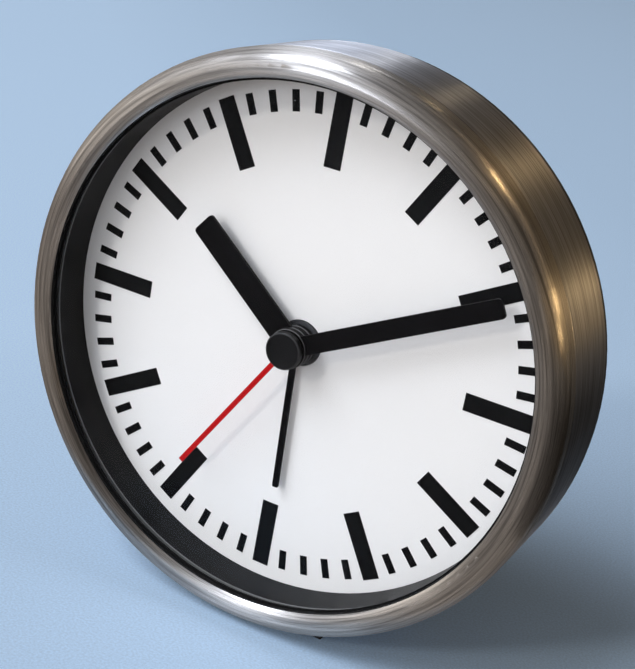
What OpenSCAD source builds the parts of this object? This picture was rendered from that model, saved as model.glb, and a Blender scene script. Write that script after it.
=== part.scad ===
// Round table alarm clock. A steel drum stands on its rim on two rubber feet, with a dial of
// plain bars, four hands, and a battery movement behind the dial.
// The dial faces -Y, twelve o'clock is at +Z, and the feet stand on Z = 0.

/* [Case] */
// Outside diameter of the steel case
case_d = 100; // [98:1:106]
// Wall of the steel drum
drum_wall = 1; // [0.8:0.1:1.2]
// Length of the steel drum behind the bezel
drum_len = 15.8; // [15:0.2:18]
// Height of the bezel above the drum
bezel_h = 5.4; // [5:0.2:6.4]
// Width of the bezel from the outside of the case to its opening
bezel_w = 4.9; // [4.6:0.1:5.4]
// Radius of the bezel's rounded outer edge
nose_r = 3.2; // [2.8:0.1:3.6]
// Fall of the bezel from its highest line to its inner lip
lip_fall = 0.8; // [0.5:0.1:1.2]
// Thickness of the bezel's inner lip
lip_t = 0.8; // [0.6:0.1:1.2]

/* [Window] */
// Thickness of the flat glass
lens_t = 1.5; // [1.2:0.1:2]
// Thickness of the gasket under the bezel's lip
gasket_t = 0.3; // [0.2:0.1:0.5]
// Height of the black ring between the dial and the glass
ring_h = 7.2; // [7:0.2:8.4]
// Thickness of the printed dial plate
dial_t = 0.8; // [0.6:0.1:1]

/* [Dial marks] */
// Gap between the outer ends of the hour marks and the bezel's opening
mark_margin = 2.1; // [1.4:0.1:4]
// Length of an hour mark
hour_mark_l = 12.3; // [8:0.5:14]
// Width of an hour mark
hour_mark_w = 3.1; // [2:0.1:4]
// Length of a minute mark
minute_mark_l = 3.6; // [2:0.2:5]
// Width of a minute mark
minute_mark_w = 1.35; // [0.8:0.05:1.8]
// Step in from the outer ends of the hour marks to those of the minute marks
minute_mark_step = 0.35; // [0:0.05:1]
// Thickness of the printed ink
ink_t = 0.06; // [0.04:0.01:0.1]

/* [Hands] */
// Length of the hour hand from the axis to its tip
hour_hand_l = 26.2; // [20:0.1:29]
// Width of the hour hand
hour_hand_w = 4.6; // [3.4:0.1:5.4]
// Gap between the minute hand's tip and the bezel's opening
minute_hand_margin = 5.5; // [3:0.1:12]
// Width of the minute hand
minute_hand_w = 3.3; // [2.4:0.1:4.4]
// Length of the second hand from the axis to its tip
second_hand_l = 31.6; // [26:0.1:38]
// Width of the second hand
second_hand_w = 0.9; // [0.6:0.1:1.4]
// Length of the alarm hand from the axis to its tip
alarm_hand_l = 26.7; // [20:0.1:29]
// Width of the alarm hand
alarm_hand_w = 1.15; // [0.8:0.05:1.8]
// Diameter of the collars of the hands
collar_d = 6.9; // [6.4:0.1:7.4]
// Diameter of the cap on the second hand
cap_d = 6.5; // [5.8:0.1:7]
// Angle of the hour hand, clockwise from twelve
hour_angle = 308.2; // [0:0.1:360]
// Angle of the minute hand, clockwise from twelve
minute_angle = 62.1; // [0:0.1:360]
// Angle of the second hand, clockwise from twelve
second_angle = 211.8; // [0:0.1:360]
// Angle of the alarm hand, clockwise from twelve
alarm_angle = 178; // [0:0.1:360]

/* [Movement] */
// Depth of the movement, front to back
movement_depth = 16.5; // [16.5:0.1:17.5]
// Radius of the movement's corners
movement_corner_r = 3.2; // [2.8:0.1:4]
// Thickness of every wheel and of the train plate
wheel_t = 0.8; // [0.7:0.02:0.82]
// Diameter of the battery, an AA cell
battery_d = 14.5; // [14:0.1:14.5]
// Length of the battery over its cap
battery_l = 50.5; // [50:0.1:52]
// Room for the contact at each end of the battery
contact_room = 1.5; // [1.3:0.1:2]

/* [Back] */
// Thickness of the moulded back cover
cover_t = 1.6; // [1.4:0.1:2]
// Diameter of the two setting knobs
knob_d = 12; // [9:0.5:13]
// Height of the two setting knobs
knob_h = 4.3; // [3.6:0.1:6]
// Travel of the alarm switch
switch_travel = 3; // [2:0.2:4]
// Distance of the four cover screws from the outside of the case
cover_screw_in = 8.2; // [8:0.2:9.4]

/* [Feet] */
// Gap between the case and what the clock stands on
foot_gap = 0.9; // [0.6:0.1:1.4]
// Width of each rubber foot
foot_w = 7; // [5:0.5:9]
// Length of each rubber foot, front to back
foot_l = 12.5; // [10:0.5:13]
// Distance of each foot from the middle of the clock
foot_x = 12; // [9:0.5:14]

/* [Hidden] */
$fn = 96;

// Colours of the materials, as hexadecimal strings
steel_colour = "#8f8d8a";
black_colour = "#1b1c1e";
white_colour = "#f2f2f0";
brass_colour = "#c2a15a";
grey_colour = "#7d8084";

// Overrun of every cut
over = 0.4;
// Gap of parts that are pressed together
press_gap = 0.01;
// Radial clearance of a part that turns on another
run_gap = 0.05;
// Gap round parts that drop into a recess
seat_gap = 0.15;
// Bevel along the seams and free edges of the steel
steel_bevel = 0.15;
quarter_turn = 90;
full_turn = 360;
// Unit vector at an angle that is counted anticlockwise from three o'clock
function toward(a) = [cos(a), sin(a)];

// Heights along the dial's axis, from the dial's face towards the viewer
lens_z = ring_h;
lens_top_z = lens_z + lens_t;
lip_under_z = lens_top_z + gasket_t;
lip_z = lip_under_z + lip_t;
apex_z = lip_z + lip_fall;
crease_z = apex_z - bezel_h;
drum_back_z = crease_z - drum_len;
cover_back_z = drum_back_z - cover_t;
dial_back_z = -dial_t;

// Marks round the dial
hour_count = 12;
minute_count = 60;
minutes_per_hour = minute_count / hour_count;

// Case
case_r = case_d / 2;
drum_in_r = case_r - drum_wall;
window_r = case_r - bezel_w;
minute_hand_l = window_r - minute_hand_margin;
apex_r = case_r - nose_r;
// Radius of the arc that falls from the bezel's highest line to its lip
lip_w = apex_r - window_r;
lip_arc_r = (lip_w * lip_w + lip_fall * lip_fall) / (2 * lip_fall);
// Width of the rim that is turned in at the drum's back
rim_w = 1.6;
rim_r = drum_in_r - rim_w;
rim_z = drum_back_z + drum_wall;
// Play between the bezel's bore and the glass
glass_play = 0.3;
bezel_bore_r = window_r + 2.4 * lip_t + glass_play / 2;
// Length of the bezel's skirt inside the drum
skirt_l = 4;
skirt_r = drum_in_r - run_gap;

// Glass, gasket, ring and dial
glass_r = bezel_bore_r - glass_play;
gasket_lip = 0.3;
gasket_in_r = window_r - gasket_lip;
ring_step = 0.2;
ring_in_r = window_r + ring_step;
dial_r = drum_in_r - 2 * glass_play;
glass_bevel = 0.2;

// Moulded carrier that holds the dial, the movement and the cover screws
carrier_t = 2;
carrier_wall = 1.5;
carrier_r = drum_in_r - glass_play;
carrier_back_z = dial_back_z - carrier_t;
window_play = 0.5;
post_r = 3;
pilot_r = 1.1;

// Movement housing
movement_gap = 0.1;
plate_t = 1.5;
wall_t = 1.25;
movement_z = dial_back_z - movement_gap;
inside_z = movement_z - plate_t;
movement_back_z = movement_z - movement_depth;
lid_z = movement_back_z + plate_t;
inside_w = battery_l + 2 * contact_room;
movement_w = inside_w + 2 * wall_t;
inside_corner_r = movement_corner_r - wall_t;
partition_t = 0.8;
// Height of the top of the partition over the battery, from the dial's axis
partition_y = -10.6;
battery_gap = 0.15;
battery_r = battery_d / 2;
battery_y = partition_y - partition_t - battery_gap - battery_r;
battery_z = inside_z - battery_gap - battery_r;

// Levels of the wheels behind the movement's front plate
level_gap = 0.6;
function level(i) = inside_z - level_gap - i * (wheel_t + level_gap);
alarm_level = 0;
hour_level = 1;
cannon_level = 2;
centre_level = 3;
plate_level = 4;
third_level = 5;
seconds_level = 6;
drive_level = 7;
board_level = 8;

// Tubes and arbor of the hands, from the inside out
arbor_r = 0.45;
tube_wall = 0.65;
minute_tube_in_r = arbor_r + run_gap;
minute_tube_r = minute_tube_in_r + tube_wall + run_gap;
hour_tube_in_r = minute_tube_r + run_gap;
hour_tube_r = hour_tube_in_r + tube_wall;
alarm_tube_in_r = hour_tube_r + run_gap;
alarm_tube_r = alarm_tube_in_r + tube_wall;
bush_in_r = alarm_tube_r + run_gap;
bush_wall = 1.3;
bush_r = bush_in_r + bush_wall;
bush_z = 0.3;

// Heights of the hands above the dial
blade_t = 0.5;
thin_blade_t = 0.4;
red_blade_t = 0.25;
collar_h = 1.2;
hand_gap = 0.2;
alarm_collar_z = bush_z + 2 * hand_gap;
alarm_collar_h = 1;
hour_collar_z = alarm_collar_z + alarm_collar_h + hand_gap + run_gap * 2;
minute_collar_z = hour_collar_z + collar_h + hand_gap;
second_z = minute_collar_z + collar_h + hand_gap;
cap_z = second_z + red_blade_t;
cap_h = 1.3;
cap_bore_h = 0.9;
cap_bevel = 0.25;
collar_r = collar_d / 2;
cap_r = cap_d / 2;
tip_r = 0.7;
alarm_tip_r = alarm_hand_w / 4;
edge_step = 0.1;
second_hub_r = 2.2;

// Teeth of the wheels and pinions, and the modules of their pairs
cannon_teeth = 12;
motion_teeth = 36;
motion_pinion_teeth = 10;
hour_teeth = 40;
time_teeth = 12;
centre_teeth = 64;
third_pinion_teeth = 8;
third_teeth = 60;
second_pinion_teeth = 8;
second_teeth = 60;
intermediate_pinion_teeth = 10;
intermediate_teeth = 50;
rotor_teeth = 10;
alarm_teeth = 40;
alarm_set_teeth = 44;
motion_module = 0.45;
train_module = 0.3;
alarm_module = 0.4;
// Shares of the module above and below the pitch circle
addendum_share = 0.85;
dedendum_share = 1.15;
// Half widths of a tooth at its root and tip, as shares of the pitch
tooth_root_share = 0.27;
tooth_tip_share = 0.1;

motion_d = motion_module * (cannon_teeth + motion_teeth) / 2;
hour_module = 2 * motion_d / (motion_pinion_teeth + hour_teeth);
time_d = motion_module * (motion_teeth + time_teeth) / 2;
third_d = train_module * (second_pinion_teeth + third_teeth) / 2;
centre_module = 2 * third_d / (third_pinion_teeth + centre_teeth);
intermediate_d = train_module * (second_teeth + intermediate_pinion_teeth) / 2;
rotor_d = train_module * (intermediate_teeth + rotor_teeth) / 2;
alarm_d = alarm_module * (alarm_teeth + alarm_set_teeth) / 2;

// Directions from each arbor to the next, and the places that follow
motion_dir = 150;
time_dir = 180;
third_dir = 70;
intermediate_dir = 145;
rotor_dir = 100;
motion_p = motion_d * toward(motion_dir);
time_p = motion_p + time_d * toward(time_dir);
third_p = third_d * toward(third_dir);
intermediate_p = intermediate_d * toward(intermediate_dir);
rotor_p = intermediate_p + rotor_d * toward(rotor_dir);
alarm_dir = asin(time_p[1] / alarm_d);
alarm_p = alarm_d * toward(alarm_dir);

// Angle of the second gear's first tooth when its first gear has a tooth at the angle a
function mesh(a, n1, dir, n2) =
    dir + full_turn / 2 - (1 / 2 - (dir - a) * n1 / full_turn) * full_turn / n2;
motion_phase = mesh(0, cannon_teeth, motion_dir, motion_teeth);
time_phase = mesh(motion_phase, motion_teeth, time_dir, time_teeth);
hour_phase = mesh(0, motion_pinion_teeth, motion_dir + full_turn / 2, hour_teeth);
third_phase = mesh(0, second_pinion_teeth, third_dir, third_teeth);
centre_phase = mesh(0, third_pinion_teeth, third_dir + full_turn / 2, centre_teeth);
intermediate_phase = mesh(0, second_teeth, intermediate_dir, intermediate_pinion_teeth);
rotor_phase = mesh(0, intermediate_teeth, rotor_dir, rotor_teeth);
alarm_set_phase = mesh(0, alarm_teeth, alarm_dir, alarm_set_teeth);

// Arbors, pivots, shoulders and their bearings
stud_r = 0.75;
shoulder_r = 0.9;
wide_shoulder_r = 1.6;
journal_r = 1.5;
end_play = 0.1;
boss_r = 1.3;
boss_h = 1.2;
pivot_depth = 0.3;
shaft_r = 1;
shaft_pivot_r = 0.6;
shaft_pivot_l = 1;
shaft_hole_r = 1.3;

// Screws of the movement, and the pillars that they run through
pillar_r = 1.6;
train_screw_r = 0.75;
train_head_r = 1.4;
train_head_h = 0.8;
pillar_inset = 2.5;
pillars = [
    [-inside_w / 2 + pillar_inset, partition_y + 2 * pillar_r],
    [-inside_w / 2 + pillar_inset, rotor_p[1]],
    [third_p[0] + pillar_inset + pillar_r, inside_w / 2 - 2 * pillar_inset],
    [inside_w / 2 - pillar_inset, partition_y + 2 * pillar_r]
];
plate_play = 0.3;
keeper_r = 1.15;

// Ears of the movement and their screws
ear_w = 8;
ear_reach = 5.4;
ear_t = 1.6;
ear_y = 8;
ear_screw_r = 0.85;
ear_head_r = 1.8;
ear_head_h = 1.1;
ear_x = movement_w / 2 + ear_reach / 2;

// Motor: rotor, stator, core and coil
magnet_r = 2.1;
magnet_top_gap = 0.8;
magnet_h = 2.4;
stator_gap = 0.6;
stator_ring_r = 4.2;
core_w = 2.6;
coil_l = 16;
coil_r = 2.7;
flange_r = 3;
flange_t = 0.8;
coil_gap = 0.6;
core_l = coil_l + 2 * (flange_t + coil_gap + core_w);
coil_inset = 4.5;
coil_y = inside_w / 2 - coil_inset;
coil_x = rotor_p[0];
bobbin_wall = 0.3;
bobbin_r = core_w / 2 + bobbin_wall;

// Circuit board and what it carries
board_w = 13.4;
board_h = 9;
board_x = 7;
board_y = -9.6;
board_inset = 1.5;
chip_r = 2.2;
chip_h = 0.9;
crystal_r = 1;
crystal_l = 6;

// Buzzer
buzzer_r = 6;
buzzer_h = 6;
buzzer_gap = 2.25;
buzzer_x = inside_w / 2 - buzzer_r - buzzer_gap;
buzzer_p = [buzzer_x, buzzer_x];
sound_hole_r = 0.8;
sound_ring_r = 3;
sound_count = 6;

// Pod of the back cover, round the movement
pod_gap = 0.8;
pod_in_z = movement_back_z - pod_gap;
pod_z = pod_in_z - cover_t;
pod_in_w = movement_w + 2 * pod_gap;
pod_w = pod_in_w + 2 * cover_t;
pod_corner_r = movement_corner_r + pod_gap + cover_t;
pod_edge_r = 2;
hull_fn = 32;
pod_edge_steps = 4;
cover_rim = 0.3;
cover_r = case_r - cover_rim;
spigot_h = 1.2;
spigot_t = 1.2;
spigot_r = carrier_r - carrier_wall - glass_play;
knob_gap = 0.4;
knob_hole_r = 1.6;
knob_z = pod_z - knob_gap;
knob_back_z = knob_z - knob_h;
knob_wall = 1;
knob_bevel = 0.6;
knob_r = knob_d / 2;
grip_r = 0.45;
grip_count = 24;

// Cover screws
cover_screw_count = 4;
cover_screw_r = case_r - cover_screw_in;
cover_shank_r = 1.05;
cover_hole_r = 1.4;
cover_head_r = 2.4;
cover_head_h = 1.3;
cover_screw_l = 8;
slot_w = 0.5;
slot_depth = 0.7;

// Battery door
door_t = 1;
door_reach = 1.35;
door_half_w = battery_l / 2 + door_reach;
door_ledge = 0.7;
door_top_y = -10.8;
door_play = 0.15;
tongue_t = 0.4;
tongue_w = 0.7;
door_rib_t = 0.35;
door_rib_w = 1;
door_rib_pitch = 2;
door_rib_inset = 4;
door_rib_l = 14;
door_rib_count = 3;

// Alarm switch
switch_y = 20;
neck_w = 4;
neck_h = 2.6;
switch_flange_t = 0.6;
switch_flange_w = 11;
switch_flange_h = 5.4;
switch_play = 0.2;
thumb_h = 2.2;
thumb_w = 5;
switch_ridge = 0.5;
switch_ridge_pitch = 1.5;

// Battery contacts
contact_t = 0.3;
contact_w = 8;
nub_r = 2.7;
nub_h = 1.2;
leaf_r = 1.1;
contact_touch = 0.05;

// Feet
axis_z = case_r + foot_gap;
foot_front_z = 3;
foot_top_angle = 30;
depth_shift = (apex_z + knob_back_z) / 2;

// Puts a shape drawn on the dial's axis, with its front towards +Z, into the standing clock
module standing() {
    translate([0, depth_shift, axis_z]) rotate([quarter_turn, 0, 0]) children();
}

// Disc between two heights
module disc(r, z0, z1) {
    translate([0, 0, z0]) cylinder(r = r, h = z1 - z0);
}

// Ring between two heights
module tube(r_out, r_in, z0, z1) {
    difference() {
        disc(r_out, z0, z1);
        disc(r_in, z0 - over, z1 + over);
    }
}

// Block between two corners
module block(low, high) {
    translate(low) cube(high - low);
}

// Square outline with round corners
module round_square(w, r) {
    square([w - 2 * r, w], center = true);
    square([w, w - 2 * r], center = true);
    for (x = [-1, 1], y = [-1, 1])
        translate([x * (w / 2 - r), y * (w / 2 - r)]) circle(r = r);
}

// Square with round corners between two heights
module round_block(w, r, z0, z1) {
    translate([0, 0, z0]) linear_extrude(height = z1 - z0) round_square(w, r);
}

// Toothed wheel with its first tooth at the angle a, without a bore
module gear(teeth, mod, a, z0, z1) {
    root_r = mod * (teeth / 2 - dedendum_share);
    head_r = mod * (teeth / 2 + addendum_share);
    pitch_a = full_turn / teeth;
    corners = [
        [root_r, -tooth_root_share], [head_r, -tooth_tip_share],
        [head_r, tooth_tip_share], [root_r, tooth_root_share]
    ];
    translate([0, 0, z0]) rotate([0, 0, a]) linear_extrude(height = z1 - z0)
        polygon([for (i = [0:teeth - 1], c = corners) c[0] * toward((i + c[1]) * pitch_a)]);
}

// Toothed wheel that fills one level
module gear_at(lvl, teeth, mod, a) {
    gear(teeth, mod, a, level(lvl) - wheel_t, level(lvl));
}

// Hand blade with a blunt tip and round tip corners, lying towards the clockwise angle a
module blade(l, w, corner, a, z0, z1) {
    rotate([0, 0, quarter_turn - a]) translate([0, 0, z0]) linear_extrude(height = z1 - z0) {
        translate([0, -w / 2]) square([l - corner, w]);
        translate([0, corner - w / 2]) square([l, w - 2 * corner]);
        for (y = [-1, 1])
            translate([l - corner, y * (w / 2 - corner)]) circle(r = corner);
    }
}

// Hand of a blade and a collar with a beveled front edge, bored for its tube
module hand(l, w, corner, a, t, r_in, z0, z1) {
    difference() {
        union() {
            rotate_extrude() polygon([
                [0, z0], [collar_r, z0], [collar_r, z1 - edge_step],
                [collar_r - edge_step, z1], [0, z1]
            ]);
            blade(l, w, corner, a, z1 - edge_step / 2 - t, z1 - edge_step / 2);
        }
        disc(r_in, z0 - over, z1 + over);
    }
}

// Part of a circle above and beside a corner, as a flat shape
module arc_part(r, centre, low, high) {
    intersection() {
        translate(centre) circle(r = r);
        translate(low) square(high - low);
    }
}

// Rounded front ring with a lip over the glass and a skirt inside the drum
module bezel() {
    nose_z = apex_z - nose_r;
    skirt_z = crease_z - skirt_l;
    color(steel_colour) standing() rotate_extrude() difference() {
        union() {
            polygon([
                [bezel_bore_r, skirt_z], [skirt_r, skirt_z], [skirt_r, crease_z],
                [case_r - steel_bevel, crease_z], [case_r, crease_z + steel_bevel],
                [case_r, nose_z], [bezel_bore_r, nose_z]
            ]);
            arc_part(nose_r, [apex_r, nose_z], [apex_r, nose_z], [case_r, apex_z]);
            arc_part(lip_arc_r, [apex_r, apex_z - lip_arc_r], [window_r, lip_under_z],
                [apex_r, apex_z]);
        }
        translate([0, skirt_z - over]) square([bezel_bore_r, lip_under_z - skirt_z + over]);
    }
}

// Steel drum with a rim turned in at the back, beveled at both ends
module case_drum() {
    color(steel_colour) standing() rotate_extrude() polygon([
        [rim_r, drum_back_z], [case_r - steel_bevel, drum_back_z],
        [case_r, drum_back_z + steel_bevel], [case_r, crease_z - steel_bevel],
        [case_r - steel_bevel, crease_z], [drum_in_r, crease_z], [drum_in_r, rim_z],
        [rim_r, rim_z]
    ]);
}

// Soft ring between the bezel's lip and the glass
module gasket() {
    color(grey_colour) standing() tube(glass_r, gasket_in_r, lens_top_z, lip_under_z);
}

// Flat glass with beveled edges
module lens() {
    color("#dfe8ec", 0.3) standing() rotate_extrude() polygon([
        [0, lens_z], [glass_r - glass_bevel, lens_z], [glass_r, lens_z + glass_bevel],
        [glass_r, lens_top_z - glass_bevel], [glass_r - glass_bevel, lens_top_z],
        [0, lens_top_z]
    ]);
}

// Black ring that spaces the glass from the dial
module dial_ring() {
    color(black_colour) standing() tube(glass_r, ring_in_r, 0, lens_z);
}

// White dial plate with a hole for the bush of the movement
module dial() {
    color(white_colour) standing() tube(dial_r, bush_r + seat_gap, dial_back_z, 0);
}

// One printed bar that ends at the radius r and points at the clockwise angle a
module mark(r, l, w, a) {
    rotate([0, 0, -a]) block([-w / 2, r - l, 0], [w / 2, r, ink_t]);
}

// Twelve hour bars
module hour_marks() {
    color(black_colour) standing() for (i = [0:hour_count - 1])
        mark(window_r - mark_margin, hour_mark_l, hour_mark_w, i * full_turn / hour_count);
}

// Minute bars between the hours
module minute_marks() {
    color(black_colour) standing() for (i = [0:minute_count - 1]) if (i % minutes_per_hour != 0)
        mark(window_r - mark_margin - minute_mark_step, minute_mark_l, minute_mark_w,
            i * full_turn / minute_count);
}

// Carrier behind the dial, with a skirt, four screw posts and a window for the movement
module dial_carrier() {
    color(black_colour) standing() difference() {
        union() {
            disc(carrier_r, carrier_back_z, dial_back_z);
            tube(carrier_r, carrier_r - carrier_wall, rim_z, carrier_back_z);
            for (i = [0:cover_screw_count - 1])
                translate(concat(cover_screw_r * toward(i * quarter_turn), 0))
                    disc(post_r, drum_back_z, carrier_back_z);
        }
        round_block(movement_w + 2 * window_play, movement_corner_r + window_play,
            carrier_back_z - over, dial_back_z + over);
        for (i = [0:cover_screw_count - 1]) translate(concat(cover_screw_r * toward(i * quarter_turn), 0))
            disc(pilot_r, drum_back_z - over, carrier_back_z + carrier_t / 2);
        for (x = [-ear_x, ear_x]) translate([x, ear_y, 0])
            disc(ear_screw_r + run_gap, carrier_back_z - over, dial_back_z + over);
    }
}

// Outer form of the back cover's pod, with rounded rear edges
module pod_form() {
    hull() for (x = [-1, 1], y = [-1, 1])
        translate([x * (pod_w / 2 - pod_corner_r), y * (pod_w / 2 - pod_corner_r), 0])
            rotate_extrude($fn = hull_fn) polygon(concat(
                [[0, pod_z]],
                [for (i = [0:pod_edge_steps]) let (a = -quarter_turn + quarter_turn * i / pod_edge_steps)
                    [pod_corner_r - pod_edge_r + pod_edge_r * cos(a),
                     pod_z + pod_edge_r + pod_edge_r * sin(a)]],
                [[pod_corner_r, drum_back_z], [0, drum_back_z]]
            ));
}

// Room that the battery door slides in, with play round the door
module door_channel(play) {
    low_y = -pod_w / 2 - over;
    block([-door_half_w - play, low_y, pod_z - over],
        [door_half_w + play, door_top_y + play, pod_z + door_t + play / 2]);
    block([-door_half_w - tongue_w - play, low_y, pod_z + door_t - tongue_t - play],
        [door_half_w + tongue_w + play, door_top_y + play, pod_z + door_t + play / 2]);
}

// Moulded back cover with a pod for the movement, knobs, switch, sound holes and battery
module back_cover() {
    color(black_colour) standing() difference() {
        union() {
            disc(cover_r, cover_back_z, drum_back_z);
            tube(spigot_r, spigot_r - spigot_t, drum_back_z, drum_back_z + spigot_h);
            pod_form();
        }
        round_block(pod_in_w, movement_corner_r + pod_gap, pod_in_z,
            drum_back_z + spigot_h + over);
        for (p = [time_p, alarm_p]) translate([p[0], p[1], 0])
            disc(knob_hole_r, pod_z - over, pod_in_z + over);
        for (i = [0:cover_screw_count - 1]) translate(concat(cover_screw_r * toward(i * quarter_turn), 0))
            disc(cover_hole_r, cover_back_z - over, drum_back_z + over);
        for (i = [0:sound_count - 1])
            translate(concat(buzzer_p + sound_ring_r * toward(i * full_turn / sound_count), 0))
                disc(sound_hole_r, pod_z - over, pod_in_z + over);
        block([-(neck_w + switch_travel) / 2 - switch_play, switch_y - neck_h / 2 - switch_play,
                pod_z - over],
            [(neck_w + switch_travel) / 2 + switch_play, switch_y + neck_h / 2 + switch_play,
                pod_in_z + over]);
        block([-door_half_w + door_ledge, -pod_in_w / 2 + door_ledge, pod_z - over],
            [door_half_w - door_ledge, door_top_y - door_ledge, pod_in_z + over]);
        door_channel(door_play);
    }
}

// Four screws that hold the back cover, with crossed slots
module cover_screws() {
    color(steel_colour) standing() for (i = [0:cover_screw_count - 1])
        translate(concat(cover_screw_r * toward(i * quarter_turn), 0)) difference() {
            union() {
                disc(cover_head_r, cover_back_z - cover_head_h, cover_back_z);
                disc(cover_shank_r, cover_back_z, cover_back_z + cover_screw_l);
            }
            for (a = [0, quarter_turn]) rotate([0, 0, a])
                block([-cover_head_r / 2, -slot_w / 2, cover_back_z - cover_head_h - over],
                    [cover_head_r / 2, slot_w / 2, cover_back_z - cover_head_h + slot_depth]);
        }
}

// Sliding battery door with tongues at its sides and ribs for the thumb
module battery_door() {
    color(black_colour) standing() {
        intersection() {
            pod_form();
            union() {
                block([-door_half_w, -pod_w / 2 - over, pod_z],
                    [door_half_w, door_top_y, pod_z + door_t]);
                block([-door_half_w - tongue_w, -pod_w / 2 - over, pod_z + door_t - tongue_t],
                    [door_half_w + tongue_w, door_top_y, pod_z + door_t]);
            }
        }
        for (i = [0:door_rib_count - 1]) translate([0, door_top_y - door_rib_inset - i * door_rib_pitch, 0])
            block([-door_rib_l / 2, 0, pod_z - door_rib_t], [door_rib_l / 2, door_rib_w, pod_z]);
    }
}

// Two rubber feet cut to the drum above and flat below
module rubber_feet() {
    color(black_colour) standing() difference() {
        for (x = [-foot_x, foot_x])
            block([x - foot_w / 2, -axis_z, foot_front_z - foot_l],
                [x + foot_w / 2, -case_r * cos(foot_top_angle), foot_front_z]);
        disc(case_r + press_gap, foot_front_z - foot_l - over, foot_front_z + over);
    }
}

// Broad black hour hand
module hour_hand() {
    color(black_colour) standing()
        hand(hour_hand_l, hour_hand_w, tip_r, hour_angle, blade_t, hour_tube_r + press_gap,
            hour_collar_z, hour_collar_z + collar_h);
}

// Long black minute hand
module minute_hand() {
    color(black_colour) standing()
        hand(minute_hand_l, minute_hand_w, tip_r, minute_angle, blade_t,
            minute_tube_r + press_gap, minute_collar_z, minute_collar_z + collar_h);
}

// Thin red second hand
module second_hand() {
    color("#c4121a") standing() difference() {
        union() {
            rotate([0, 0, quarter_turn - second_angle])
                block([0, -second_hand_w / 2, second_z],
                    [second_hand_l, second_hand_w / 2, second_z + red_blade_t]);
            disc(second_hub_r, second_z, second_z + red_blade_t);
        }
        disc(arbor_r + press_gap, second_z - over, cap_z + over);
    }
}

// Black cap pressed on the arbor over the second hand
module hand_cap() {
    color(black_colour) standing() difference() {
        rotate_extrude() polygon([
            [0, cap_z], [cap_r - edge_step, cap_z], [cap_r, cap_z + edge_step],
            [cap_r, cap_z + cap_h - cap_bevel], [cap_r - cap_bevel, cap_z + cap_h],
            [0, cap_z + cap_h]
        ]);
        disc(arbor_r + press_gap, cap_z - over, cap_z + cap_bore_h);
    }
}

// Thin black alarm hand
module alarm_hand() {
    color(black_colour) standing()
        hand(alarm_hand_l, alarm_hand_w, alarm_tip_r, alarm_angle, thin_blade_t,
            alarm_tube_r + press_gap, alarm_collar_z, alarm_collar_z + alarm_collar_h);
}

// Movement housing: front plate with a bush, walls, pillars and a stud
module movement_front() {
    color(grey_colour) standing() difference() {
        union() {
            difference() {
                round_block(movement_w, movement_corner_r, lid_z, movement_z);
                round_block(inside_w, inside_corner_r, lid_z - over, inside_z);
            }
            block([-inside_w / 2 - wall_t / 2, partition_y - partition_t, lid_z],
                [inside_w / 2 + wall_t / 2, partition_y, inside_z + plate_t / 2]);
            disc(bush_r, inside_z + plate_t / 2, bush_z);
            for (p = pillars) translate([p[0], p[1], 0])
                disc(pillar_r, level(plate_level), inside_z + plate_t / 2);
            translate([motion_p[0], motion_p[1], 0])
                disc(stud_r, level(centre_level) - wheel_t, inside_z + plate_t / 2);
            for (x = [-1, 1]) translate([x * ear_x, ear_y, 0])
                block([-ear_reach / 2 - wall_t / 2, -ear_w / 2, carrier_back_z - ear_t],
                    [ear_reach / 2 + wall_t / 2, ear_w / 2, carrier_back_z]);
        }
        disc(bush_in_r, inside_z - over, bush_z + over);
        for (p = pillars) translate([p[0], p[1], 0])
            disc(train_screw_r + run_gap, level(plate_level) - over, inside_z);
        for (x = [-ear_x, ear_x]) translate([x, ear_y, 0])
            disc(ear_screw_r + run_gap, carrier_back_z - ear_t - over, carrier_back_z + over);
        for (p = [time_p, alarm_p]) translate([p[0], p[1], 0])
            disc(shaft_pivot_r + run_gap, inside_z - over, inside_z + shaft_pivot_l);
    }
}

// Plate in the middle of the movement, with the front bearings of the train and a keeper
// for the motion wheel
module train_plate() {
    front_z = level(plate_level);
    back_z = front_z - wheel_t;
    color(grey_colour) standing() difference() {
        union() {
            intersection() {
                round_block(inside_w - 2 * plate_play, inside_corner_r, back_z, front_z);
                block([-inside_w / 2, partition_y + plate_play, back_z],
                    [inside_w / 2, inside_w / 2, front_z]);
            }
            translate([motion_p[0], motion_p[1], 0])
                disc(keeper_r, back_z, level(cannon_level) - wheel_t - end_play);
        }
        translate([motion_p[0], motion_p[1], 0])
            disc(stud_r + run_gap, back_z - over, level(cannon_level));
        for (p = [[0, 0], intermediate_p, rotor_p]) translate([p[0], p[1], 0])
            disc(arbor_r + run_gap, back_z - over, front_z + over);
        translate([third_p[0], third_p[1], 0])
            disc(journal_r + run_gap, back_z - over, front_z + over);
        for (p = [time_p, alarm_p]) translate([p[0], p[1], 0])
            disc(shaft_hole_r, back_z - over, front_z + over);
        for (p = pillars) translate([p[0], p[1], 0])
            disc(train_screw_r + run_gap, back_z - over, front_z + over);
    }
}

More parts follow.
